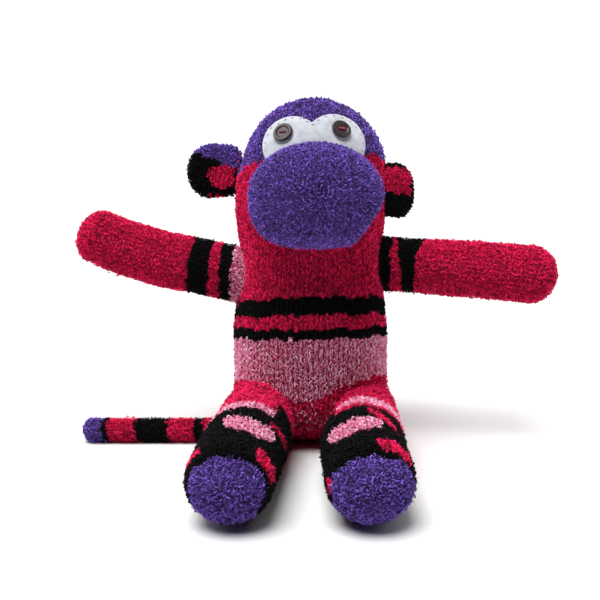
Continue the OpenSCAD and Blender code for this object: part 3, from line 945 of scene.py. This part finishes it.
def muzzle_reach(angle):
    """Distance from the muzzle's middle to its edge in each direction."""
    c, s = np.cos(angle), np.sin(angle)
    p = np.where(s > 0, *MUZZLE_SQUARENESS)
    reach = (np.abs(c / MUZZLE_HALF[0]) ** p + np.abs(s / MUZZLE_HALF[1]) ** p) ** (-1 / p)
    toward = np.maximum(np.cos(angle - math.radians(MUZZLE_FLAT[0])), 0.2)
    return np.minimum(reach, MUZZLE_FLAT[1] / toward)


def muzzle_grid():
    """Rows from the nose back to the gathered edge on the head."""
    columns = 40
    t = TAU * np.arange(columns) / columns
    rows = []
    latitudes = np.concatenate([np.linspace(90, 0, 12), np.linspace(-10, -60, 6)])
    # The outline's corners are softened by averaging it over a few degrees.
    fine = np.arange(360.0)
    reach = muzzle_reach(np.radians(fine))
    kernel = np.exp(-((np.arange(-16, 17) / 7.0) ** 2))
    reach = np.convolve(np.concatenate([reach[-16:], reach, reach[:16]]), kernel / kernel.sum(), "valid")
    reach = np.interp(np.degrees(t), fine, reach, period=360)
    x, z = reach * np.cos(t), reach * np.sin(t) - 0.8 * np.maximum(0, np.sin(t))
    for lat in latitudes:
        a = math.radians(lat)
        k = math.cos(a) ** 0.86 if lat > 0 else 1 - 0.272 * (1 - math.cos(a))
        out = 28.3 * math.sin(a) ** 0.95 if lat > 0 else 20 * math.sin(a)
        pucker = 1 + (0.025 if lat < -15 else 0.0) * np.cos(13 * t)
        rows.append(np.stack([MUZZLE_AT[0] + x * k * pucker, np.full(columns, MUZZLE_AT[1] - out),
                              MUZZLE_AT[2] + z * k * pucker], -1))
    rows = np.array(rows)
    v = np.arange(len(rows))[:, None]
    push = lumps(101, t[None] / TAU, v / 3.2, 0.7) * smooth(v / 3)
    fold = 1.2 * np.exp(-(((t[None] - 1.62 * math.pi) / 0.16) ** 2) - ((v - 9) / 2.2) ** 2)
    rows[..., 1] += push * 0.5 + fold
    rows[..., 2] += fold * 0.8
    return to_row(rows)


muzzle_shape = swell(Surface(muzzle_grid(), (True, False)), lambda i, j: i > 15, push=4.0, cap=1.6)


def all_purple(row, turn, p):
    return np.full(row.shape, PURPLE)


muzzle = Knit(muzzle_shape, 94, all_purple, course=1.4, curl=0.9, rib=0.4, loose=1.2)


def off_head(row, turn, p):
    q = to_body(p)
    return np.hypot(q[:, 0], q[:, 1]) > outline(q[:, 2]) - 0.2


muzzle.ground("muzzle_fabric", 0, muzzle_shape.rows - 1, riding("head"),
              ("muzzle_cover", "muzzle_stuffing"), "sock_purple")
fibres("pile_muzzle", *muzzle.stitches(0.02, muzzle_shape.rows - 1, 103, off_head), riding("head"), 104,
       thick=0.36)

# ---- Ears ----


def make_ear(side):
    hinge = to_body(pivot(f"ear_{side}_flap"))
    out = to_body(middle_of(f"ear_{side}_cover")) - hinge
    out[2] = 0
    out = unit(out)
    face = np.array([out[1], -out[0], 0]) * SIGN[side]
    centre = hinge + out * (10.3 if side == "right" else 4.7) + [0, 0, 0.2 if side == "right" else 2.0]
    columns, rows = 28, []
    t = TAU * np.arange(columns) / columns
    inner = np.cos(t) < 0
    p = np.where(inner, 3.6, 2.2)
    wide, tall = np.where(inner, 19.0, 16.2), np.where(inner, 15.6, 16.2)
    reach = (np.abs(np.cos(t) / wide) ** p + np.abs(np.sin(t) / tall) ** p) ** (-1 / p)
    for lat in np.linspace(90, -90, 15):
        a = math.radians(lat)
        k = math.cos(a) ** 0.75 if abs(lat) < 90 else 0.0
        thick = 6.0 * math.sin(a) - 1.6 * (1 - k) * (1 if lat > 0 else 0.2)
        across, high = reach * np.cos(t) * k, reach * np.sin(t) * k
        rows.append(centre + across[:, None] * out + high[:, None] * np.array([0, 0, 1]) + face * thick)
    grid = to_row(np.array(rows))

    def sewn_down(i, j):
        return (grid[i, j] - to_row(hinge)) @ to_row(out) < -3

    shape = swell(Surface(grid, (True, True)), sewn_down, push=2.0, cap=0.8)
    uneven = jitter(111 + SIGN[side], 36)

    def colour(row, turn, q):
        d = q - to_row(centre)
        a = d @ to_row(out) + 1.2 * uneven(turn)
        b = d @ AXIS + 1.2 * uneven(turn + 0.4)
        c = np.full(a.shape, BLACK)
        if side == "right":
            c[b > 7.5 + 0.35 * a] = PURPLE
            c[(a < -6) & (b > 0)] = PURPLE
            c[((a + 6) / 8.5) ** 2 + ((b + 4) / 7.5) ** 2 < 1] = HOT
            c[(b < -15) & (a < 3)] = HOT
        else:
            c[(b > -2.5) & (a < 9) & (b < 13)] = HOT
            c[d @ to_row(face) < -1.0] = BLACK
        return c

    k = Knit(shape, 38, colour, curl=0.9, rib=0.35, loose=1.2)
    ear_attach = bending(to_row(hinge - out * 6.5), to_row(hinge + out * 6.5))
    k.ground(f"ear_{side}_fabric", 0, shape.rows - 1, ear_attach,
             (f"ear_{side}_cover", f"ear_{side}_stuffing"), "sock_black")
    fibres(f"pile_ear_{side}", *k.stitches(0.02, shape.rows - 1.02, 113, outside_body), ear_attach, 114)


make_ear("left")
make_ear("right")

# ---- Eyes: one piece of felt, its stitches and two buttons ----


def on_face(x, z, lift):
    """A point over the front of the head."""
    r = outline(z) + lift
    return to_row(np.stack([x, -np.sqrt(np.maximum(r * r - x * x, 1.0)), z], -1))


def felt_height(x, z):
    """The felt lies on the pile and is pulled down under the buttons."""
    spots = [to_body(middle_of(f"button_{s}")) for s in SIGN]
    near = np.min([np.hypot(x - q[0], z - q[2]) for q in spots], axis=0)
    return 0.05 + 0.75 * smooth((near - 5) / 6)


FELT_THICK = 1.4
angles = TAU * np.arange(220) / 220
reach = felt_reach(angles)
shares = np.concatenate([np.linspace(0.0, 0.94, 16)[1:], [0.975, 1.0]])
felt_x = FELT_MIDDLE[0] + np.cos(angles)[None] * reach[None] * shares[:, None]
felt_z = FELT_MIDDLE[1] + np.sin(angles)[None] * reach[None] * shares[:, None]
base = felt_height(felt_x, felt_z)
edge_round = np.array([0.0] * 15 + [0.12, 0.5])[:, None]
top = on_face(felt_x, felt_z, base + FELT_THICK - edge_round)
under = on_face(felt_x, felt_z, base + edge_round * 0.6)
middle_x, middle_z = FELT_MIDDLE[:1], FELT_MIDDLE[1:]
middle_base = felt_height(middle_x, middle_z)
middle_top = on_face(middle_x, middle_z, middle_base + FELT_THICK)
middle_under = on_face(middle_x, middle_z, middle_base)
points = np.vstack([top.reshape(-1, 3), under.reshape(-1, 3), middle_top, middle_under])
n_rings, n_round = felt_x.shape
sheet_points = n_rings * n_round
i, j = np.meshgrid(np.arange(n_rings - 1), np.arange(n_round), indexing="ij")
k = (j + 1) % n_round
inner, outer = i * n_round, (i + 1) * n_round
front_quads = np.stack([inner + j, outer + j, outer + k, inner + k], -1).reshape(-1, 4)
back_quads = front_quads[:, ::-1] + sheet_points
j = np.arange(n_round)
k = (j + 1) % n_round
rim = sheet_points - n_round
rim_quads = np.stack([rim + j, rim + sheet_points + j, rim + sheet_points + k, rim + k], -1)
top_index = np.full(n_round, 2 * sheet_points)
fans = np.vstack([np.stack([top_index, j, k], -1),
                  np.stack([top_index + 1, sheet_points + k, sheet_points + j], -1)])
felt_white = plain_material("felt", (0.80, 0.83, 0.88), 0.95, 0.3)
noise = cloudy(felt_white, 260, 6, (0.3, (0.46, 0.48, 0.52)), (0.7, (0.60, 0.62, 0.67)))
bump = felt_white.node_tree.nodes.new("ShaderNodeBump")
set_inputs(bump, {"Strength": 0.25, "Distance": 0.0004})
felt_white.node_tree.links.new(noise.outputs["Fac"], bump.inputs["Height"])
felt_white.node_tree.links.new(bump.outputs["Normal"], shader_of(felt_white).inputs["Normal"])
polygons = [np.vstack([front_quads, back_quads, rim_quads]), fans]
felt = new_object("eye_felt_sheet", points, polygons, [felt_white], np.zeros(sum(len(q) for q in polygons)))
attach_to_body(felt, "head")
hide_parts("eye_felt")
flat_area = 0.5 * TAU / len(angles) * float((reach**2).sum()) * MM * MM
felt_width = float(np.ptp(felt_x[-1])) * MM
felt_length = float(np.ptp(felt_z[-1])) * MM
# The flat felt is longer than it looks from the front by this much, because it lies on a round head.
FELT_BEND = 1.16

THREAD_LOOKS = {
    "plum_thread": ((0.30, 0.19, 0.25), 0.8),
    "pink_thread": ((0.45, 0.02, 0.09), 0.7),
    "purple_thread": ((0.12, 0.06, 0.32), 0.7),
    "black_thread": ((0.01, 0.01, 0.012), 0.7),
    "button_thread": ((0.62, 0.06, 0.12), 0.6),
    "button_thread_dull": ((0.20, 0.06, 0.09), 0.8),
}
THREAD = {name: plain_material(name, *look) for name, look in THREAD_LOOKS.items()}

# A stitch from end to end: how far along, its share of the full radius, and how far it stands up.
STITCH_SHAPE = (
    (0.0, 0.35, -0.25), (0.08, 0.85, 0.05), (0.3, 1.0, 0.2),
    (0.7, 1.0, 0.2), (0.92, 0.85, 0.05), (1.0, 0.35, -0.25),
)


def sew_stitches(name, pairs, radius, thread, replaced):
    """Short round stitches on the head, each a bowed rod with rounded ends."""
    points, quads, tris = [], [], []
    spin = TAU * np.arange(6) / 6
    for a, b, n in pairs:
        way = unit(b - a)
        side = unit(np.cross(way, n))
        over = np.cross(side, way)
        first = len(points)
        for share, width, height in STITCH_SHAPE:
            c = a + (b - a) * share + n * height
            for w in spin:
                points.append(c + radius * width * (math.cos(w) * side + math.sin(w) * over))
        for r in range(len(STITCH_SHAPE) - 1):
            ring, following = first + r * 6, first + (r + 1) * 6
            for k in range(6):
                m = (k + 1) % 6
                quads.append((ring + k, ring + m, following + m, following + k))
        end_ring = first + 6 * (len(STITCH_SHAPE) - 1)
        for end, out, ring, flip in ((a, -0.3, first, True), (b, 0.3, end_ring, False)):
            tip_index = len(points)
            points.append(end + way * radius * out - n * 0.25)
            for k in range(6):
                m = (k + 1) % 6
                tri = (ring + k, ring + m, tip_index)
                tris.append(tri[::-1] if flip else tri)
    polygons = [np.array(quads), np.array(tris)]
    obj = new_object(name, np.array(points), polygons, [THREAD[thread]], np.zeros(len(quads) + len(tris)))
    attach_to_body(obj, "head")
    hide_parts(replaced)
    return obj


rng = np.random.default_rng(131)
pairs = []
for a in np.radians(np.arange(-24, 206, 9.5)):
    r0 = float(felt_reach(np.array([a]))[0]) - 1.7
    d = 0.8 / r0
    spread = rng.normal(0, 0.2)
    q = [FELT_MIDDLE + (r0 + spread) * np.array([math.cos(a + s * d), math.sin(a + s * d)]) for s in (-1, 1)]
    x, z = np.array(q).T
    start, end = on_face(x, z, felt_height(x, z) + FELT_THICK + 0.05)
    n = unit(to_row(np.array([q[0][0], -math.sqrt(HEAD_R**2 - q[0][0] ** 2) * 0.8, q[0][1] - CROWN_Z])))
    pairs.append((start, end, n))
felt_stitches = sew_stitches("felt_stitches", pairs, 0.17, "plum_thread", "eye_felt_stitches")
flat_area = min(flat_area, 0.99 * felt_width * felt_length) * FELT_BEND * FELT_BEND


def paint(node, material):
    """Gives a CAD node its material."""
    materials = frame["nodes"][node].data.materials
    materials.clear()
    materials.append(material)


button_plum = plain_material("button", (0.035, 0.016, 0.022), 0.42)
set_inputs(shader_of(button_plum), {"Specular IOR Level": 0.4, "Coat Weight": 0.1})
for side in SIGN:
    paint(f"button_{side}", button_plum)
paint("button_thread_left", THREAD["button_thread"])
paint("button_thread_right", THREAD["button_thread_dull"])
for node in ("closing", "ear_left", "ear_right", "arm_left", "arm_right"):
    paint(f"{node}_stitches", THREAD["pink_thread"])
paint("tail_stitches", THREAD["black_thread"])

# ---- Whip stitches round the muzzle ----

MUZZLE_SEAM = (33.0, 26.5)
pairs = []
for a in np.radians(np.arange(-20, 201, 10)):
    turned, past_seam = a + np.array([-0.03, 0.03]), np.array([-1.2, 1.4])
    x = MUZZLE_AT[0] + (MUZZLE_SEAM[0] + past_seam) * np.cos(turned)
    z = MUZZLE_AT[2] + (MUZZLE_SEAM[1] + past_seam) * np.sin(turned)
    start, end = on_face(x, z, np.where(z > FELT_SHOWS_Z, 1.9, 0.5))
    up = unit(to_row(np.array([math.cos(a) * 0.5, -1.0, math.sin(a) * 0.3])))
    pairs.append((start, end, up))
sew_stitches("muzzle_whip_stitches", pairs, 0.4, "purple_thread", "muzzle_stitches")

# ---- Studio ----

# Light wraps round from behind, hardly any comes from in front, and one large soft lamp is overhead.
WORLD_FRONT, WORLD_BACK, SUN_POWER = 0.02, 1.15, 4.3
FLOOR_REACH = 40
floor_mesh = bpy.data.meshes.new("floor")
corners = [(x * FLOOR_REACH, y * FLOOR_REACH, 0) for x, y in ((-1, -1), (1, -1), (1, 1), (-1, 1))]
floor_mesh.from_pydata(corners, [], [(0, 1, 2, 3)])
floor = add_object("floor", floor_mesh)
floor_mesh.materials.append(plain_material("floor", (0.78, 0.78, 0.78), 0.95))

world = bpy.data.worlds.new("studio")
SCENE.world = world
world.use_nodes = True
nodes, links = world.node_tree.nodes, world.node_tree.links
where = nodes.new("ShaderNodeTexCoord")
split = nodes.new("ShaderNodeSeparateXYZ")
wrap = nodes.new("ShaderNodeMapRange")
set_inputs(wrap, {"From Min": -0.1, "From Max": 0.35, "To Min": WORLD_FRONT, "To Max": WORLD_BACK})
links.new(where.outputs["Generated"], split.inputs["Vector"])
links.new(split.outputs["Y"], wrap.inputs["Value"])
links.new(wrap.outputs["Result"], nodes["Background"].inputs["Strength"])
set_inputs(nodes["Background"], {"Color": (1, 1, 1, 1)})

sun = bpy.data.lights.new("overhead", "SUN")
sun.energy = SUN_POWER
sun.angle = math.radians(45)
overhead = add_object("overhead", sun)
overhead.rotation_euler = Vector((0.22, 0.20, -1.0)).to_track_quat("-Z", "Y").to_euler()

camera = bpy.data.cameras.new("camera")
camera.sensor_width = 36
camera.lens = 59
camera.clip_end = 50
shot = add_object("camera", camera)
shot.location = (-0.0068, -0.600, 0.1918)
shot.rotation_euler = (math.radians(80), 0, 0)
SCENE.camera = shot
SCENE.view_settings.view_transform = "Standard"
